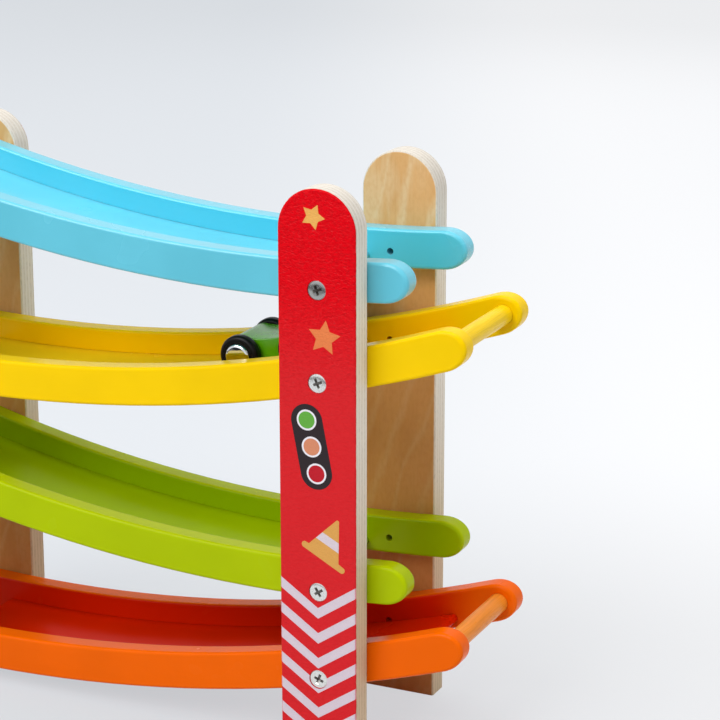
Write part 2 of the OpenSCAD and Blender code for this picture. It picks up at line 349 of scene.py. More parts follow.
def trackMaterial(track, part, finish):  # glossy paint over sanded wood, chalky when seen along a face
    look = trackLook[track]
    colour = look[part]
    material, tree, shader, place = startMaterial(track + part.capitalize() + "Paint")
    cloud = noise(tree, place, finish["cloudScale"], 3.0)
    grain = grainNoise(tree, place, finish["grainScale"], 4.0)
    peel = noise(tree, place, finish["peelScale"])
    deep = darker(colour, finish["shade"])
    tone = blend(tree, spread(tree, cloud, *finish["cloudRange"]), deep, colour)
    tone = blend(tree, spread(tree, grain, *finish["grainRange"]), tone, deep)
    along, across = [calc(tree, "ABSOLUTE", axis) for axis in apart(tree, place)[:2]]
    if part == "rail":  # painted shade: rails take their track's deeper tone on the side of the floor, as shade of the channel
        inside = calc(tree, "MULTIPLY", spread(tree, across, *finish["innerFace"]),
                      spread(tree, along, *finish["innerFades"], 1.0, 0.0))
        tone = blend(tree, inside, tone, look["floor"])
    else:  # a floor is darker in a ragged line where it meets its rails
        uneven = noise(tree, place, finish["gatherScale"], 3.0)
        ragged = calc(tree, "MULTIPLY_ADD", uneven, finish["gatherReach"], across)
        edge = spread(tree, ragged, *finish["gatherLine"])
        tone = blend(tree, edge, tone, darker(colour, finish["gatherShade"]))
    height = calc(tree, "MULTIPLY_ADD", grain, finish["grainDepth"], peel)
    wire(tree, shader, BaseColor=tone, Roughness=spread(tree, cloud, *finish["roughness"]),
         SpecularIORLevel=look[part + "Gloss"], SheenWeight=look["bloom"],
         SheenRoughness=finish["bloomRoughness"], Normal=raised(tree, height, *finish["bump"]))
    return material


dowelFinish = {
    "grainScale": (900, 35, 900), "warp": 0.4, "grainRange": (0.4, 0.75), "shade": 0.84,
    "roughness": (0.3, 0.7, 0.25, 0.38), "gloss": 0.15, "bump": (0.15, 0.1 * mm),
}


def dowelMaterial(track, finish):  # stain thin enough for the turned wood's grain to show
    colour = trackLook[track]["dowel"]
    material, tree, shader, place = startMaterial(track + "DowelStain")
    grain = grainNoise(tree, place, finish["grainScale"], 4.0, finish["warp"])
    streaks = spread(tree, grain, *finish["grainRange"])
    wire(tree, shader, BaseColor=blend(tree, streaks, colour, darker(colour, finish["shade"])),
         Roughness=spread(tree, grain, *finish["roughness"]), SpecularIORLevel=finish["gloss"],
         Normal=raised(tree, grain, *finish["bump"]))
    return material


def dress(node, material):  # a new finish on a piece that keeps its shape
    slots = nodes[node].data.materials
    slots.clear()
    slots.append(material)


for track in trackLook:
    railPaint = trackMaterial(track, "rail", trackFinish)
    for side in sides:
        dress(f"{track}_{side}_rail", railPaint)
    dress(track + "_floor", trackMaterial(track, "floor", trackFinish))
    dress(track + "_stop_dowel", dowelMaterial(track, dowelFinish))
print("tracks painted")

# Plywood posts: red outside, bare veneer inside, layers on the edges
skinLook = {
    "scale": (560.0, 760.0, 900.0),
    "turn": (0, 0.35, 0),
    "warp": 0.6,
    "fine": (2.4, 0.3),  # scale and share of the finer wrinkles
    "calms": (215 * mm, 150 * mm, 1.0, 0.4),
    "gloss": 0.07,
}


def skinHeight(tree, place, look):  # the leathery skin of the red paint and of the prints on it
    ridges = stretched(tree, place, look["scale"], look["turn"])
    coarse = noise(tree, ridges, 1.0, 1.0, look["warp"])
    scale, share = look["fine"]
    skin = calc(tree, "MULTIPLY_ADD", noise(tree, ridges, scale, 1.0), share, coarse)
    return calc(tree, "MULTIPLY", skin, spread(tree, apart(tree, place)[2], *look["calms"])), skin


plyLook = {
    "count": 9, "turns": (0.42, 0.58), "seam": (0.0, 0.09, 0.35, 0.0),
    "long": srgb(236, 229, 217), "cross": srgb(229, 220, 204), "glue": srgb(166, 143, 116),
    "rippleScale": (60, 60, 18), "ripple": 0.35 * mm,
    "poreScale": (1500, 1500, 500), "pores": (0.4, 0.7), "poreShade": 0.84,
    "streakScale": (900, 900, 30), "streaks": (0.4, 0.75), "streakShade": 0.92,
    "top": (0.84, 0.84, 0.85, 1.0),  # the round tops' end grain is greyer
    "greys": (232 * mm, 257 * mm),
}


def plyEdge(tree, place, depth, z, look):  # thin sheets with their grain along and across by turns
    ripple = grainNoise(tree, place, look["rippleScale"], 2.0)
    ripple = calc(tree, "MULTIPLY_ADD", ripple, look["ripple"], depth)
    layer = spread(tree, ripple, postInner, postOuter, 0.0, look["count"], smooth=False)
    turns = spread(tree, calc(tree, "PINGPONG", calc(tree, "ADD", layer, 0.5), 1.0), *look["turns"])
    seam = spread(tree, calc(tree, "PINGPONG", layer, 0.5), *look["seam"])
    pores = grainNoise(tree, place, look["poreScale"], 3.0)
    streaks = grainNoise(tree, place, look["streakScale"], 3.0)
    cross = blend(tree, spread(tree, pores, *look["pores"]), look["cross"],
                  darker(look["cross"], look["poreShade"]))
    long = blend(tree, spread(tree, streaks, *look["streaks"]), look["long"],
                 darker(look["long"], look["streakShade"]))
    tone = blend(tree, seam, blend(tree, turns, long, cross), look["glue"])
    return blend(tree, spread(tree, z, *look["greys"]), tone, look["top"], "MULTIPLY"), pores


veneerLook = {
    "tone": srgb(224, 173, 115), "pale": srgb(230, 196, 150), "deep": srgb(210, 154, 94),
    "ends": (postInner + 0.12 * mm, postInner + 0.01 * mm),  # how deep the sheet shows
    "fibreScale": (1300, 1300, 40), "fibres": (0.5, 0.8, 0.0, 0.16), "fibreShade": 0.8,
    "slant": (70.0, -22.0),  # growth lines per metre across and up
    "wanderScale": (30, 30, 12), "wander": 2.4, "featherScale": (420, 420, 26), "fray": 0.22,
    "lines": (0.0, 0.2, 0.8, 0.0),
    "flameScale": (38, 38, 17), "flameFray": 0.3, "flames": (0.7, 0.84, 0.0, 0.6),
    "cloudScale": (60, 60, 20), "clouds": (0.4, 0.7, 0.0, 0.6),
    "mottleScale": (620, 620, 300), "mottle": (0.4, 0.7, 0.0, 0.3),
    "calms": (225 * mm, 195 * mm, 1.0, 0.45),  # the figure is fainter lower down
}


def veneerFace(tree, place, x, z, look):  # a peeled sheet: growth lines, pale flames, clouds and fine fibres
    fibre = grainNoise(tree, place, look["fibreScale"], 4.0)
    feather = grainNoise(tree, place, look["featherScale"], 3.0)
    wander = grainNoise(tree, place, look["wanderScale"], 2.0)
    across, up = look["slant"]
    slant = calc(tree, "MULTIPLY_ADD", x, across, calc(tree, "MULTIPLY", z, up))
    frayed = calc(tree, "MULTIPLY_ADD", feather, look["fray"], slant)
    lines = calc(tree, "MULTIPLY_ADD", wander, look["wander"], frayed)
    lines = spread(tree, calc(tree, "PINGPONG", lines, 0.5), *look["lines"])
    flames = grainNoise(tree, place, look["flameScale"], 2.0)
    flames = spread(tree, calc(tree, "MULTIPLY_ADD", feather, look["flameFray"], flames), *look["flames"])
    figure = calc(tree, "MULTIPLY", calc(tree, "MAXIMUM", lines, flames), spread(tree, z, *look["calms"]))
    clouds = spread(tree, grainNoise(tree, place, look["cloudScale"], 3.0), *look["clouds"])
    mottle = spread(tree, grainNoise(tree, place, look["mottleScale"], 2.0), *look["mottle"])
    tone = blend(tree, clouds, look["tone"], look["deep"])
    tone = blend(tree, figure, tone, look["pale"])
    tone = blend(tree, mottle, tone, look["deep"])
    dark = darker(look["deep"], look["fibreShade"])
    return blend(tree, spread(tree, fibre, *look["fibres"]), tone, dark), fibre


redLook = {
    "high": srgb(220, 0, 16), "low": srgb(211, 37, 42),
    "fades": (225 * mm, 165 * mm),  # painted light: lower down the red is paler, as a painted reflection, and a little darker, as painted shade
    # painted shade in the skin's dents, strongest high up
    "dents": (0.45, 0.75, 0.42, 0.0), "dentsCalm": (215 * mm, 150 * mm, 1.0, 0.3), "dentShade": 0.72,
    "starts": (postOuter - 0.42 * mm, postOuter - 0.22 * mm), "edgeScale": 260.0, "edgeWobble": 0.5 * mm,
}


def redPaint(tree, z, skin, look):  # painted shade in the skin's dents; lower down, painted reflection and shade
    red = blend(tree, spread(tree, z, *look["fades"]), look["high"], look["low"])
    # painted shade: the skin's dents are darker, most of all high up
    dents = calc(tree, "MULTIPLY", spread(tree, skin, *look["dents"]), spread(tree, z, *look["dentsCalm"]))
    return blend(tree, dents, red, darker(look["high"], look["dentShade"]))


postLook = {
    "woodLow": (0.84, 0.71, 0.54, 1.0),  # bare wood is browner towards the feet, as painted orange bounce light and as dirt
    "browns": (165 * mm, 60 * mm),
    "roughness": (0.5, 0.26),  # of wood and of paint
    "poreDepth": 0.3,
    "woodDepth": 0.08,
    "bump": (1.0, 0.62 * mm),
}


def postMaterial(look):
    material, tree, shader, place = startMaterial("printedPlywood")
    x, y, z = apart(tree, place)
    depth = calc(tree, "ABSOLUTE", y)
    uneven = noise(tree, place, redLook["edgeScale"], 3.0)
    wobble = calc(tree, "MULTIPLY_ADD", uneven, redLook["edgeWobble"], depth)
    painted = spread(tree, wobble, *redLook["starts"])
    edge, pores = plyEdge(tree, place, depth, z, plyLook)
    veneer, fibre = veneerFace(tree, place, x, z, veneerLook)
    wood = blend(tree, spread(tree, depth, *veneerLook["ends"]), edge, veneer)
    # painted bounce light and dirt: bare wood browner lower down
    wood = blend(tree, spread(tree, z, *look["browns"]), wood, look["woodLow"], "MULTIPLY")
    wrinkles, skin = skinHeight(tree, place, skinLook)
    tone = blend(tree, painted, wood, redPaint(tree, z, skin, redLook))
    rough = spread(tree, painted, 0.0, 1.0, *look["roughness"], smooth=False)
    grain = calc(tree, "MULTIPLY_ADD", pores, look["poreDepth"], fibre)
    grain = calc(tree, "MULTIPLY", grain, look["woodDepth"])
    height = shading(tree, "Mix", {0: painted, 2: grain, 3: wrinkles})
    wire(tree, shader, BaseColor=tone, Roughness=rough, SpecularIORLevel=skinLook["gloss"],
         Normal=raised(tree, height, *look["bump"]))
    return material


plywood = postMaterial(postLook)
for end in ends:
    for side in sides:
        dress(f"{side}_{end}_post", plywood)
print("posts finished")

# Geometry trees: shapes set on places, made plain meshes
weldReach = 0.002 * mm


def geometryTree(name, numbers=(), **others):  # an empty tree with named inputs and one geometry output
    tree = bpy.data.node_groups.new(name, "GeometryNodeTree")
    tree.is_modifier = True
    kinds = {"Geometry": "Geometry", **dict.fromkeys(numbers, "Float"), **others, "Material": "Material"}
    for label, kind in kinds.items():
        tree.interface.new_socket(label, in_out="INPUT", socket_type="NodeSocket" + kind)
    tree.interface.new_socket("Geometry", in_out="OUTPUT", socket_type="NodeSocketGeometry")
    return tree, add(tree, "NodeGroupInput").outputs


def setOnPlaces(tree, inputs, shape):  # ends a tree: a copy at each point, turned as it says
    turn = geometry(tree, "InputNamedAttribute", {"Name": "turn"}, data_type="FLOAT_VECTOR")
    wires = {"Points": inputs["Geometry"], "Instance": shape,
             "Rotation": add(tree, "FunctionNodeEulerToRotation", {0: turn}).outputs[0]}
    copies = geometry(tree, "InstanceOnPoints", wires)
    solid = geometry(tree, "RealizeInstances", {0: copies})
    wires = {"Geometry": solid, "Material": inputs["Material"]}
    add(tree, "NodeGroupOutput", {0: geometry(tree, "SetMaterial", wires)})
    return tree


def grow(name, tree, places, values, smoothAngle=30.0):  # runs a tree on its places and keeps the plain mesh
    host = bpy.data.meshes.new(name + "Places")
    host.from_pydata([place for place, _ in places], [], [])
    turns = host.attributes.new("turn", "FLOAT_VECTOR", "POINT")
    for item, (_, turn) in zip(turns.data, places):
        item.vector = turn
    piece = linked(name, host)
    modifier = piece.modifiers.new(name, "NODES")
    modifier.node_group = tree
    for item in tree.interface.items_tree:
        if item.in_out == "INPUT" and item.name in values:
            modifier[item.identifier] = values[item.name]
    sight = bpy.context.evaluated_depsgraph_get()
    plain = bpy.data.meshes.new_from_object(piece.evaluated_get(sight), depsgraph=sight)
    piece.modifiers.clear()
    piece.data = plain
    plain.shade_smooth()
    plain.set_sharp_from_angle(angle=math.radians(smoothAngle))
    print("grown:", name, len(plain.polygons), "faces")
    return piece


def moved(tree, shape, place):
    return geometry(tree, "SetPosition", {"Geometry": shape, "Position": place})


def pointPlace(tree):
    return apart(tree, geometry(tree, "InputPosition"))


def objectShape(tree, item):
    return add(tree, "GeometryNodeObjectInfo", {"Object": item}).outputs["Geometry"]


def film(tree, flat, thickness):  # a flat shape made a thin closed skin, standing out along +Z
    wires = {"Mesh": flat, "Offset Scale": thickness, "Individual": False}
    lifted = geometry(tree, "ExtrudeMesh", wires)
    under = geometry(tree, "FlipFaces", {0: flat})
    joined = add(tree, "GeometryNodeJoinGeometry")
    tree.links.new(under, joined.inputs[0])
    tree.links.new(lifted, joined.inputs[0])
    wires = {"Geometry": joined.outputs[0], "Distance": weldReach}
    return geometry(tree, "MergeByDistance", wires)


def turnedMesh(name, profile, around):  # a profile of (radius, height) spun about +Z, closed at both ends
    turns = [2 * math.pi * i / around for i in range(around)]
    build = bmesh.new()
    rings = []
    for radius, height in profile:
        corners = [(radius * math.cos(turn), radius * math.sin(turn), height) for turn in turns]
        rings.append([build.verts.new(corner) for corner in (corners if radius > 0 else corners[:1])])
    for low, high in zip(rings, rings[1:]):
        for i in range(around):
            j = (i + 1) % around
            corners = [low[i % len(low)], low[j % len(low)], high[j % len(high)], high[i % len(high)]]
            build.faces.new(list(dict.fromkeys(corners)))
    bmesh.ops.recalc_face_normals(build, faces=build.faces)
    mesh = bpy.data.meshes.new(name)
    build.to_mesh(mesh)
    build.free()
    return mesh


def outwards(out, spin=0.0):  # turns a shape's +Z along Y, to the front for -1, after its own spin
    return Matrix.Rotation(-out * math.pi / 2, 3, "X") @ Matrix.Rotation(spin, 3, "Z")


# Wood screws, one at each crossing of a post and a rail
screwFace = span("rear_right_screws", 1)[1] + 0.06 * mm  # a crowned head, over the flat solid
screwFinish = {
    "zinc": srgb(240, 240, 236), "rubScale": 1900.0, "rubbed": (0.45, 0.75), "rubShade": 0.84,
    "dulls": (200 * mm, 212 * mm), "dullShade": 0.5,  # the topmost screws are tarnished
    "recess": (screwFace - 0.12 * mm, screwFace - 0.6 * mm), "grime": srgb(58, 42, 30), "grimeShare": 0.85,
    "buried": (postOuter - 5 * mm, postOuter - 9 * mm), "shank": srgb(176, 120, 66),
    "metal": (0.85, 0.35),  # of the face and of the recess
    "roughness": (0.3, 0.7, 0.13, 0.24), "bump": (0.05, 0.05 * mm),
}


def screwMaterial(look):
    material, tree, shader, place = startMaterial("zincScrew")
    _, y, z = apart(tree, place)
    depth = calc(tree, "ABSOLUTE", y)
    zinc = look["zinc"]
    rubbed = noise(tree, place, look["rubScale"], 3.0)
    recess = spread(tree, depth, *look["recess"])
    grime = calc(tree, "MULTIPLY", recess, look["grimeShare"])
    tone = blend(tree, spread(tree, rubbed, *look["rubbed"]), zinc, darker(zinc, look["rubShade"]))
    tone = blend(tree, spread(tree, z, *look["dulls"]), tone, darker(zinc, look["dullShade"]))
    # the cross's recess is darker and browner
    tone = blend(tree, grime, tone, look["grime"])
    tone = blend(tree, spread(tree, depth, *look["buried"]), tone, look["shank"])
    wire(tree, shader, BaseColor=tone, Roughness=spread(tree, rubbed, *look["roughness"]),
         Metallic=spread(tree, recess, 0.0, 1.0, *look["metal"], smooth=False),
         Normal=raised(tree, rubbed, *look["bump"]))
    return material


screwLook = {
    "apart": 10 * mm,  # screws of one post lie further apart than this
    "turns": {"left": (12, 61, 37, 80), "right": (20, 24, 33, 70)},  # of the crosses, from the top down
    "headRadius": extent("rear_right_screws", 0) / 2 - 0.05 * mm,
    "head": ((0, 0), (0.55, 0.02), (0.9, 0.1), (1.0, 0.24), (1.0, 0.5)),  # share of the radius, depth in mm
    "shaft": ((2.1, 2.6), (2.1, 11.8), (1.5, 11.9), (1.5, 14.3), (0.35, 17.3), (0, 17.4)),  # both in mm
    "around": 40,
    "cross": {"Reach": 3.2 * mm, "Width": 1.25 * mm, "Depth": 1.7 * mm},
    "crossTaper": (0.25, 1.35),
}


def screwTree(look):  # a turned screw with a tapered cross cut into its head
    tree, inputs = geometryTree("screwTree", look["cross"], Blank="Object")
    length, height = [calc(tree, "MULTIPLY", inputs[label], 2.0) for label in ("Reach", "Depth")]
    bar = geometry(tree, "MeshCube", {"Size": together(tree, length, inputs["Width"], height)})
    x, y, z = pointPlace(tree)
    level = calc(tree, "DIVIDE", z, inputs["Depth"])
    taper = spread(tree, level, -1.0, 1.0, *look["crossTaper"], smooth=False)
    bar = moved(tree, bar, together(tree, calc(tree, "MULTIPLY", x, taper), y, z))
    turned = {"Geometry": bar, "Rotation": (0, 0, math.pi / 2)}
    cut = add(tree, "GeometryNodeMeshBoolean", operation="DIFFERENCE", solver="EXACT")
    tree.links.new(objectShape(tree, inputs["Blank"]), cut.inputs["Mesh 1"])
    for wing in (bar, geometry(tree, "Transform", turned)):
        tree.links.new(wing, cut.inputs["Mesh 2"])
    return setOnPlaces(tree, inputs, cut.outputs[0])


def screwHeights(end):  # middles of the screws in one post, from the top down
    levels = sorted((v.co.z for v in nodes[f"front_{end}_screws"].data.vertices), reverse=True)
    groups = [levels[:1]]
    for above, below in zip(levels, levels[1:]):
        if above - below > screwLook["apart"]:
            groups.append([])
        groups[-1].append(below)
    return [(group[0] + group[-1]) / 2 for group in groups]


def screwPlaces(look):
    places = []
    for end in ends:
        for side in sides:
            for height, turn in zip(screwHeights(end), look["turns"][end]):
                spin = outwards(way[side], math.radians(turn))
                spot = (way[end] * postX, way[side] * screwFace, height)
                places.append((spot, tuple(spin.to_euler())))
    return places


def makeScrews(look):
    profile = [(share * look["headRadius"], -depth * mm) for share, depth in look["head"]]
    profile += [(radius * mm, -depth * mm) for radius, depth in look["shaft"]]
    blank = linked("screwBlank", turnedMesh("screwBlank", profile, look["around"]))
    values = {**look["cross"], "Blank": blank, "Material": screwMaterial(screwFinish)}
    screws = grow("woodScrews", screwTree(look), screwPlaces(look), values)
    bpy.data.objects.remove(blank)
    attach(screws, "frame")
    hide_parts("front_left_screws", "front_right_screws", "rear_left_screws", "rear_right_screws")


makeScrews(screwLook)
print("screws made")

# Prints on the red faces, as thin films of ink; sizes and places of the figures are in millimetres
printLook = {
    "face": postOuter - 0.01 * mm,
    "film": 0.05 * mm,
    "step": 0.02 * mm,  # how far one ink lies over another
    "fleckScale": 2400.0, "flecks": (0.35, 0.65), "fleckShade": 0.94,
    "roughness": (0.3, 0.7, 0.28, 0.36), "bump": (0.8, 0.4 * mm),
}


def inkMaterial(name, colour, look=printLook):
    material, tree, shader, place = startMaterial(name)
    wrinkles, _ = skinHeight(tree, place, skinLook)
    fleck = noise(tree, place, look["fleckScale"])
    flecks = spread(tree, fleck, *look["flecks"])
    wire(tree, shader, BaseColor=blend(tree, flecks, darker(colour, look["fleckShade"]), colour),
         Roughness=spread(tree, fleck, *look["roughness"]), SpecularIORLevel=skinLook["gloss"],
         Normal=raised(tree, wrinkles, *look["bump"]))
    return material


def printPlace(end, across, up, tilt, side, level):  # on a post's outer face, as someone facing it sees it
    out = way[side]
    spin = Matrix.Rotation(0 if out < 0 else math.pi, 3, "Z") @ Matrix.Rotation(math.pi / 2, 3, "X")
    spin = spin @ Matrix.Rotation(math.radians(tilt), 3, "Z")
    x = way[end] * postX - out * across * mm
    y = out * (printLook["face"] + level * printLook["step"])
    return (x, y, up * mm), tuple(spin.to_euler())


def makePrint(name, tree, spots, ink, values, level=0):  # a spot: end, across, up and tilt
    places = [printPlace(*spot, side, level) for spot in spots for side in sides]
    piece = grow(name, tree, places, {**values, "Film": printLook["film"], "Material": ink})
    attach(piece, "frame")


def inkTree(tree, inputs, flat):  # ends the tree of a printed figure
    return setOnPlaces(tree, inputs, film(tree, flat, inputs["Film"]))


def filled(tree, line):
    return geometry(tree, "FillCurve", {0: line}, mode="NGONS")


starLook = {
    "small": {"spots": [("right", -1.54, 250.0, -4.8), ("left", 1.3, 252.4, 4.8)],
              "outer": 5.76, "inner": 3.1, "ink": srgb(232, 172, 90)},
    "large": {"spots": [("right", 3.56, 197.4, 12.0), ("left", -3.5, 222.5, -12.0)],
              "outer": 7.9, "inner": 3.95, "ink": srgb(228, 128, 74)},
}


def starTree():
    tree, inputs = geometryTree("starTree", ("Outer", "Inner", "Film"))
    wires = {"Points": 5, "Outer Radius": inputs["Outer"], "Inner Radius": inputs["Inner"]}
    return inkTree(tree, inputs, filled(tree, geometry(tree, "CurveStar", wires)))


def makeStars(sizes):
    tree = starTree()
    for size, look in sizes.items():
        values = {"Outer": look["outer"] * mm, "Inner": look["inner"] * mm}
        makePrint(size + "Stars", tree, look["spots"], inkMaterial(size + "StarInk", look["ink"]), values)


makeStars(starLook)

lightLook = {
    "spots": [("right", -2.7, 147.6, 11.0), ("left", 2.2, 184.0, -11.0)],
    "pitch": 12.2,
    "caseRadius": 7.55,
    "caseTrim": 0.6,  # the case is this much shorter than its lamps' spacing gives
    "cornerShare": 0.4999,  # of the case's width, just short of a half circle
    "cornerSteps": 20,
    "discSides": 48,
    "ringRadius": 4.72,
    "lampRadius": 3.86,
    "case": srgb(52, 44, 47),
    "ring": srgb(233, 229, 235),
    "lamps": {
        "green": (1, srgb(100, 168, 68)),  # step along the case, and ink
        "amber": (0, srgb(212, 138, 104)),
        "red": (-1, srgb(188, 34, 46)),
    },
}


def caseTree(look):  # a rounded bar, drawn as a rectangle with its corners rounded off
    tree, inputs = geometryTree("caseTree", ("Width", "Height", "Film"))
    wires = {"Width": inputs["Width"], "Height": inputs["Height"]}
    line = geometry(tree, "CurvePrimitiveQuadrilateral", wires)
    radius = calc(tree, "MULTIPLY", inputs["Width"], look["cornerShare"])
    wires = {"Curve": line, "Radius": radius, "Count": look["cornerSteps"]}
    return inkTree(tree, inputs, filled(tree, geometry(tree, "FilletCurve", wires, mode="POLY")))


def discTree(look):
    tree, inputs = geometryTree("discTree", ("Radius", "Film"))
    wires = {"Vertices": look["discSides"], "Radius": inputs["Radius"]}
    return inkTree(tree, inputs, geometry(tree, "MeshCircle", wires, fill_type="NGON"))


def lampSpots(look, steps):  # centres of lamps that lie a number of steps along the case
    spots = []
    for end, across, up, tilt in look["spots"]:
        lean = math.radians(tilt)
        for step in steps:
            far = step * look["pitch"]
            spots.append((end, across - far * math.sin(lean), up + far * math.cos(lean), tilt))
    return spots


def makeLights(look):
    width = 2 * look["caseRadius"] * mm
    values = {"Width": width, "Height": width + (2 * look["pitch"] - look["caseTrim"]) * mm}
    makePrint("lightCases", caseTree(look), look["spots"], inkMaterial("caseInk", look["case"]), values)
    discs = discTree(look)
    values = {"Radius": look["ringRadius"] * mm}
    spots = lampSpots(look, (-1, 0, 1))
    makePrint("lampRings", discs, spots, inkMaterial("ringInk", look["ring"]), values, level=1)
    values = {"Radius": look["lampRadius"] * mm}
    for name, (step, ink) in look["lamps"].items():
        spots = lampSpots(look, (step,))
        makePrint(name + "Lamps", discs, spots, inkMaterial(name + "LampInk", ink), values, level=2)


makeLights(lightLook)

coneLook = {
    "spots": [("right", 5.2, 103.3, 0.0), ("left", -5.2, 129.0, 0.0)],
    "apex": (4.41, 11.5),
    "apexRadius": 0.8,
    "apexSteps": 8,
    "feet": ((-9.5, -0.4), (4.85, -8.0)),
    "brim": ((-11.5, -1.05), (6.4, -10.65)),
    "brimRadius": 1.45,
    "band": (0.5, 0.74),  # how far down the sides the band lies
    "bandTops": ((-0.7, 0.55), (1.0, 0.0)),  # where the sides leave the round apex, in its radii
    "ink": srgb(218, 160, 84),
    "bandInk": srgb(216, 201, 209),
}


def outlineTree():  # any closed outline, filled
    tree, inputs = geometryTree("outlineTree", ("Film",), Outline="Object")
    return inkTree(tree, inputs, objectShape(tree, inputs["Outline"]))


def outlineMesh(name, points):
    mesh = bpy.data.meshes.new(name)
    mesh.from_pydata([(x * mm, y * mm, 0) for x, y in points], [], [tuple(range(len(points)))])
    return mesh


def arc(centre, radius, start, stop, steps=12):
    turns = [start + (stop - start) * i / steps for i in range(steps + 1)]
    return [(centre[0] + radius * math.cos(turn), centre[1] + radius * math.sin(turn)) for turn in turns]


def heading(start, stop):  # angle of the way from one point to another
    return math.atan2(stop[1] - start[1], stop[0] - start[0])


def coneOutline(look):  # body and brim in one line, anticlockwise
    apex, (leftFoot, rightFoot), (leftEnd, rightEnd) = look["apex"], look["feet"], look["brim"]
    quarter = math.pi / 2
    slope = heading(leftEnd, rightEnd)
    leftSide, rightSide = heading(apex, leftFoot), heading(apex, rightFoot)
    points = arc(apex, look["apexRadius"], rightSide + quarter, leftSide + 3 * quarter, look["apexSteps"])
    points += [leftFoot]
    points += arc(leftEnd, look["brimRadius"], slope + quarter, slope + 3 * quarter)
    points += arc(rightEnd, look["brimRadius"], slope - quarter, slope + quarter)
    return points + [rightFoot]


def bandOutline(look):
    corners = []
    for (x, y), foot, shares in zip(look["bandTops"], look["feet"], (look["band"], look["band"][::-1])):
        top = Vector(look["apex"]) + Vector((x, y)) * look["apexRadius"]
        corners += [tuple(top.lerp(Vector(foot), share)) for share in shares]
    return corners


def makeCones(look):
    tree = outlineTree()
    parts = {"cone": (coneOutline(look), look["ink"]), "coneBand": (bandOutline(look), look["bandInk"])}
    for level, (part, (outline, colour)) in enumerate(parts.items()):
        ink = inkMaterial(part + "Ink", colour)
        for spot in look["spots"]:
            end = spot[0]
            name = end + part[0].upper() + part[1:] + "s"
            points = outline if end == "right" else [(-x, y) for x, y in reversed(outline)]
            helper = linked(name + "Outline", outlineMesh(name + "Outline", points))
            makePrint(name, tree, [spot], ink, {"Outline": helper}, level)
            bpy.data.objects.remove(helper)


makeCones(coneLook)

chevronLook = {
    "firstVertex": 73.1,  # height of the first stripe's upper edge at the middle
    "count": 6,
    "rise": 0.674,
    "lengths": {"Pitch": 11.9, "Thickness": 5.0, "Half Width": 18.3, "Flat Half": 17.5, "Edge Radius": 1.0,
                "Hole Radius": 4.4},
    "columns": 75, "drillSides": 48, "drillDepth": 4 * mm,
    "ink": srgb(215, 200, 210),
}


def bentStripe(tree, inputs, columns):  # one V, flat in the middle and bent round the post's edges
    width, thickness, radius = inputs["Half Width"], inputs["Thickness"], inputs["Edge Radius"]
    wires = {"Size X": calc(tree, "MULTIPLY", width, 2.0), "Size Y": thickness,
             "Vertices X": columns, "Vertices Y": 2}
    stripe = geometry(tree, "MeshGrid", wires)
    x, y, _ = pointPlace(tree)
    side = calc(tree, "ABSOLUTE", x)
    below = calc(tree, "SUBTRACT", y, calc(tree, "MULTIPLY", thickness, 0.5))
    climb = calc(tree, "MULTIPLY_ADD", side, inputs["Rise"], below)
    over = calc(tree, "MAXIMUM", calc(tree, "SUBTRACT", side, inputs["Flat Half"]), 0.0)
    squares = [calc(tree, "MULTIPLY", length, length) for length in (radius, over)]
    fall = calc(tree, "SUBTRACT", calc(tree, "SQRT", calc(tree, "SUBTRACT", *squares)), radius)
    return film(tree, moved(tree, stripe, together(tree, x, climb, fall)), inputs["Film"])


def chevronTree(look):  # V stripes up a post, with the screw's hole cut out of them
    numbers = (*look["lengths"], "Rise", "Hole Height", "Film")
    tree, inputs = geometryTree("chevronTree", numbers, Count="Int")
    downwards = together(tree, y=calc(tree, "MULTIPLY", inputs["Pitch"], -1.0))
    ladder = geometry(tree, "MeshLine", {"Count": inputs["Count"], "Offset": downwards})
    wires = {"Points": ladder, "Instance": bentStripe(tree, inputs, look["columns"])}
    stripes = geometry(tree, "InstanceOnPoints", wires)
    stripes = geometry(tree, "RealizeInstances", {0: stripes})
    wires = {"Vertices": look["drillSides"], "Radius": inputs["Hole Radius"], "Depth": look["drillDepth"]}
    drill = geometry(tree, "MeshCylinder", wires)
    wires = {"Geometry": drill, "Translation": together(tree, y=inputs["Hole Height"])}
    wires = {"Mesh 1": stripes, "Mesh 2": geometry(tree, "Transform", wires)}
    cut = geometry(tree, "MeshBoolean", wires, operation="DIFFERENCE", solver="EXACT")
    return setOnPlaces(tree, inputs, cut)


def makeChevrons(look):
    tree = chevronTree(look)
    ink = inkMaterial("chevronInk", look["ink"])
    first = look["firstVertex"]
    values = {label: length * mm for label, length in look["lengths"].items()}
    values |= {"Count": look["count"], "Rise": look["rise"]}
    for end in reversed(ends):
        values["Hole Height"] = screwHeights(end)[-1] - first * mm  # of the lowest screw
        makePrint(end + "Chevrons", tree, [(end, 0.0, first, 0.0)], ink, values)


makeChevrons(chevronLook)
print("prints made")


# The car, which stands on the yellow track and rolls about the centre of that track's curve
def turnedRadius(node, axle):  # how far a turned piece reaches from its axle
    return max(math.hypot(v.co.x - axle.x, v.co.z - axle.z) for v in nodes[node].data.vertices)


def depthSpan(node):  # nearest and farthest from the middle of the toy
    return sorted(abs(edge) for edge in span(node, 1))


trackCentre = jointPlace("car_roll")
frontAxle, rearAxle = jointPlace("front_wheel_spin"), jointPlace("rear_wheel_spin")
fromCentre = (frontAxle + rearAxle) / 2 - trackCentre
wheelInner, wheelOuter = depthSpan("car_front_left_wheel")
carLook = {
    "angle": math.atan2(fromCentre.x, -fromCentre.z),
    "wheelbase": (rearAxle - frontAxle).length,
    "overhang": 1.8 * mm,  # from an axle out to the middle of the body's round end
    "bodyEnd": 8.0 * mm,
    "waistHalf": 5.7 * mm,
    "waistEase": 1.03,  # the waist's arc is this much wider than one that runs smoothly into the ends
    "bodyWidth": extent("car_body", 1),
    "softEdge": 0.5 * mm, "softSteps": 4, "endSteps": 40, "waistSteps": 24,
    "creaseAngle": 40.0,  # in degrees
}
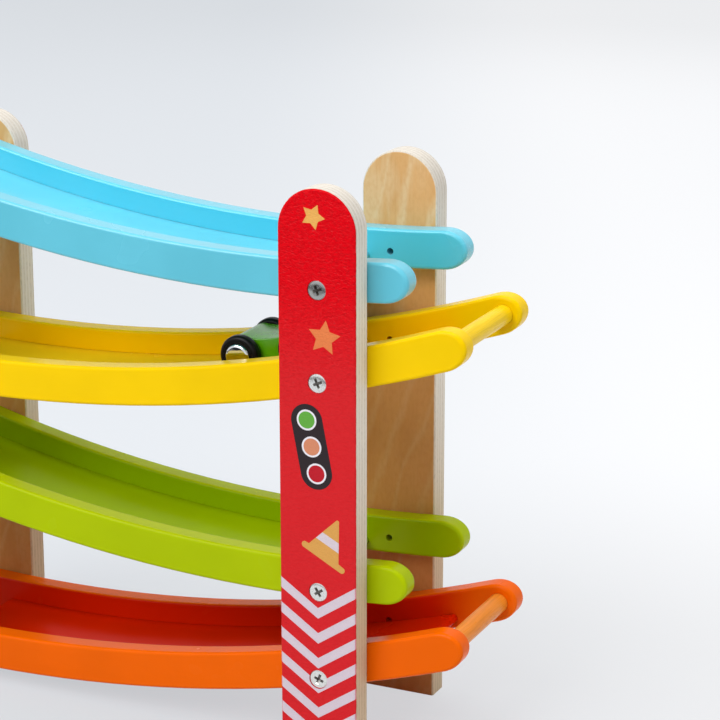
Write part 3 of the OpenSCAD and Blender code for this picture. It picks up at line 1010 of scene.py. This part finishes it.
# from the car's own frame, between its axles, to its place on the yellow track
carPlace = Matrix.Translation(trackCentre) @ Matrix.Rotation(-carLook["angle"], 4, "Y")
carPlace = carPlace @ Matrix.Translation((0, 0, -fromCentre.length))


def bodyOutline(look):  # two round ends and a waist between them, anticlockwise
    half, end, waist = look["wheelbase"] / 2 + look["overhang"], look["bodyEnd"], look["waistHalf"]
    radius = look["waistEase"] * (waist ** 2 + half ** 2 - end ** 2) / (2 * (end - waist))
    middle = radius + waist
    gap = math.hypot(half, middle)
    swing = math.acos((gap ** 2 + end ** 2 - radius ** 2) / (2 * gap * end))
    meet = math.atan2(middle, -half) - swing  # where the waist meets an end
    points = arc((half, 0), end, -meet, meet, look["endSteps"])
    start = heading((0, middle), points[-1])
    hollow = arc((0, middle), radius, start, -math.pi - start, look["waistSteps"])[1:-1]
    points += hollow
    points += arc((-half, 0), end, math.pi - meet, math.pi + meet, look["endSteps"])
    return points + [(-x, -z) for x, z in hollow]


carFinish = {
    "paint": srgb(94, 172, 2), "shade": 0.88, "cloudScale": 60.0, "clouds": (0.35, 0.65),
    "grainScale": (90, 900, 900), "grain": (0.5, 0.8, 0.0, 0.4), "grainDepth": 0.7,
    "roughness": (0.3, 0.7, 0.2, 0.3), "gloss": 0.8, "bump": (0.14, 0.12 * mm),
}


def carPaintMaterial(look):
    material, tree, shader, place = startMaterial("carPaint")
    cloud = noise(tree, place, look["cloudScale"], 3.0)
    grain = grainNoise(tree, place, look["grainScale"], 4.0, turn=(0, carLook["angle"], 0))
    deep = darker(look["paint"], look["shade"])
    tone = blend(tree, spread(tree, cloud, *look["clouds"]), deep, look["paint"])
    tone = blend(tree, spread(tree, grain, *look["grain"]), tone, deep)
    height = calc(tree, "MULTIPLY_ADD", grain, look["grainDepth"], cloud)
    wire(tree, shader, BaseColor=tone, Roughness=spread(tree, cloud, *look["roughness"]),
         SpecularIORLevel=look["gloss"], Normal=raised(tree, height, *look["bump"]))
    return material


def makeCarBody(look):
    outline = bodyOutline(look)
    half = look["bodyWidth"] / 2
    build = bmesh.new()
    near, far = [[build.verts.new((x, y, z)) for x, z in outline] for y in (-half, half)]
    build.faces.new(near)
    build.faces.new(list(reversed(far)))
    for i in range(len(outline)):
        build.faces.new((near[i], near[i - 1], far[i - 1], far[i]))
    bmesh.ops.recalc_face_normals(build, faces=build.faces)
    rims = [edge for edge in build.edges if edge.verts[0].co.y == edge.verts[1].co.y]
    bmesh.ops.bevel(build, geom=rims, offset=look["softEdge"], segments=look["softSteps"], profile=0.5,
                    affect="EDGES")
    build.transform(carPlace)
    mesh = bpy.data.meshes.new("carBlock")
    build.to_mesh(mesh)
    build.free()
    mesh.materials.append(carPaintMaterial(carFinish))
    mesh.shade_smooth()
    mesh.set_sharp_from_angle(angle=math.radians(look["creaseAngle"]))
    body = linked("carBlock", mesh)
    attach(body, "car")
    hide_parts("car_body")


tyreFinish = {
    "rubber": srgb(17, 15, 15), "scuffScale": 420.0, "scuffs": (0.5, 0.8),
    "scuffShare": 2.0,  # scuffed rubber is paler
    "roughness": (0.3, 0.7, 0.28, 0.42), "gloss": 0.16, "bump": (0.1, 0.06 * mm),
}


def tyreMaterial(look):
    material, tree, shader, place = startMaterial("blackTyre")
    scuff = noise(tree, place, look["scuffScale"], 4.0)
    scuffed = darker(look["rubber"], look["scuffShare"])
    tone = blend(tree, spread(tree, scuff, *look["scuffs"]), look["rubber"], scuffed)
    wire(tree, shader, BaseColor=tone, Roughness=spread(tree, scuff, *look["roughness"]),
         SpecularIORLevel=look["gloss"], Normal=raised(tree, scuff, *look["bump"]))
    return material


metalFinish = {
    "smudgeScale": 240.0, "smudges": (0.45, 0.75), "shade": 0.9,
    "chrome": (srgb(226, 228, 230), (0.3, 0.75, 0.05, 0.14)),  # colour, and roughness from clean to smudged
    "steel": (srgb(184, 188, 194), (0.3, 0.75, 0.25, 0.4)),
}


def metalMaterial(name, metal, finish):
    material, tree, shader, place = startMaterial(name)
    colour, roughness = finish[metal]
    smudge = noise(tree, place, finish["smudgeScale"], 3.0)
    smudges = spread(tree, smudge, *finish["smudges"])
    wire(tree, shader, BaseColor=blend(tree, smudges, colour, darker(colour, finish["shade"])),
         Roughness=spread(tree, smudge, *roughness), Metallic=1.0)
    return material


def wheelTree():  # one turned shape on each end of an axle
    tree, inputs = geometryTree("wheelTree", Shape="Object")
    return setOnPlaces(tree, inputs, objectShape(tree, inputs["Shape"]))


wheelLook = {
    "radius": turnedRadius("car_front_left_wheel", frontAxle),
    "width": wheelOuter - wheelInner,
    "bore": turnedRadius("car_front_axle", frontAxle) + 0.02 * mm,
    "shoulder": 1.8 * mm, "shoulderSteps": 8,
    "rings": (0.85, 0.3),  # places of the fine rings on the wall, as shares of it
    "ringHalf": 0.22 * mm,
    "ringFlat": 0.4,  # share of a ring's width that is its flat bottom
    "seat": 0.8 * mm,
    "seatGap": 0.05 * mm,
    "around": 96,
    "creaseAngle": 28.0,  # in degrees
}


def tyreProfile(look, cap):  # from the axle hole outwards, round the tread and back; +Z is the outer face
    radius, face, corner, bore = look["radius"], look["width"], look["shoulder"], look["bore"]
    wall, steps, half = radius - corner, look["shoulderSteps"], look["ringHalf"]
    points = [(bore, 0.0)]
    points += arc((wall, corner), corner, -math.pi / 2, 0.0, steps)
    points += [(radius, face / 2)]
    points += arc((wall, face - corner), corner, 0.0, math.pi / 2, steps)
    for share in look["rings"]:  # fine rings pressed into the outer wall
        middle = cap + share * (wall - cap)
        flat = half * look["ringFlat"]
        points += [(middle + half, face), (middle + flat, face - half)]
        points += [(middle - flat, face - half), (middle - half, face)]
    rim, floor = cap + look["seatGap"], face - look["seat"]
    return points + [(rim, face), (rim, floor), (bore, floor), (bore, 0.0)]


capLook = {
    "radius": turnedRadius("car_front_left_cap", frontAxle),
    "dome": depthSpan("car_front_left_cap")[1] - wheelOuter,
    "crownRadius": 4.6 * mm,
    "crownFall": 0.12 * mm,
    "skirt": ((0.0, 0.75), (0.98, 0.75), (1.0, 0.6)),  # inside the tyre: share of the radius, depth in mm
    "steps": 12,
    "around": 72,
}


def capProfile(look):  # a pressed cap: an almost flat crown with a rounded shoulder
    radius, dome, crown, fall = look["radius"], look["dome"], look["crownRadius"], look["crownFall"]
    points = [(share * radius, -depth * mm) for share, depth in look["skirt"]]
    shares = [1 - i / look["steps"] for i in range(look["steps"] + 1)]
    for share in shares:  # up the shoulder
        turn = math.pi / 2 * share
        points.append((crown + (radius - crown) * math.sin(turn), (dome - fall) * math.cos(turn)))
    return points + [(crown * share, dome - fall * share ** 2) for share in shares[1:]]


def makeWheels(look):
    tree = wheelTree()
    turn = carPlace.to_3x3()
    tyre = turnedMesh("tyreShape", tyreProfile(look, capLook["radius"]), look["around"])
    cap = turnedMesh("capShape", capProfile(capLook), capLook["around"])
    parts = {  # shape, finish, distance from the middle, slot, and the word in the names of the solids
        "Tyres": (linked("tyreShape", tyre), tyreMaterial(tyreFinish), wheelInner, "tyre", "wheel"),
        "Caps": (linked("capShape", cap), metalMaterial("hubChrome", "chrome", metalFinish), wheelOuter,
                 "cap_chrome", "cap"),
    }
    for axle in sides:
        along = way[axle] * carLook["wheelbase"] / 2  # the front axle lies towards -X
        for part, (shape, finish, stand, slot, word) in parts.items():
            places = []
            for out in (-1, 1):
                spot = carPlace @ Vector((along, out * stand, 0))
                places.append((tuple(spot), tuple((turn @ outwards(out)).to_euler())))
            values = {"Shape": shape, "Material": finish}
            piece = grow(axle + part, tree, places, values, look["creaseAngle"])
            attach(piece, axle + "_wheelset")
            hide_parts(f"car_{axle}_left_{word}", f"car_{axle}_right_{word}")
        dress(f"car_{axle}_axle", metalMaterial(axle + "AxleSteel", "steel", metalFinish))
    for shape, *_ in parts.values():
        bpy.data.objects.remove(shape)


makeCarBody(carLook)
makeWheels(wheelLook)
print("car made")
